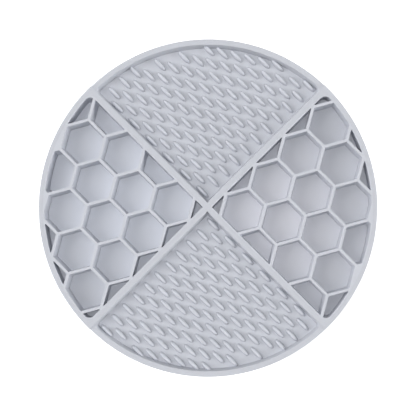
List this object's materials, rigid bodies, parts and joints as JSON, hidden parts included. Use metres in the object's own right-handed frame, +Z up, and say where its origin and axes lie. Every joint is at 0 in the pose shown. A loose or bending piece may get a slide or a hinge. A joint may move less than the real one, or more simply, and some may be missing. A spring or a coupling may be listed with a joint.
{
  "type": "lick mat",
  "caption": "Round silicone lick mat with crossed dividers: deep honeycomb pockets in two sectors, shallow ridged trays in the other two, suction cups underneath.",
  "frame": {"origin": "middle of the mat, on the plane that the suction cups stand on", "axes": "+Z up out of the mat; +X to the right-hand honeycomb sector, +Y to the back tray"},
  "size_m": [0.2, 0.2, 0.0135],
  "materials": {
    "silicone": "satin light cool grey silicone"
  },
  "bodies": {
    "root": {"base_sheet": "silicone", "suction_cups": "silicone", "divider_cross": "silicone", "rim_left": "silicone", "rim_right": "silicone", "rim_back": "silicone", "rim_front": "silicone", "honeycomb_left": "silicone", "honeycomb_right": "silicone", "tray_floor_back": "silicone", "tray_floor_front": "silicone", "ridges_back": "silicone", "ridges_front": "silicone"}
  },
  "joints": []
}
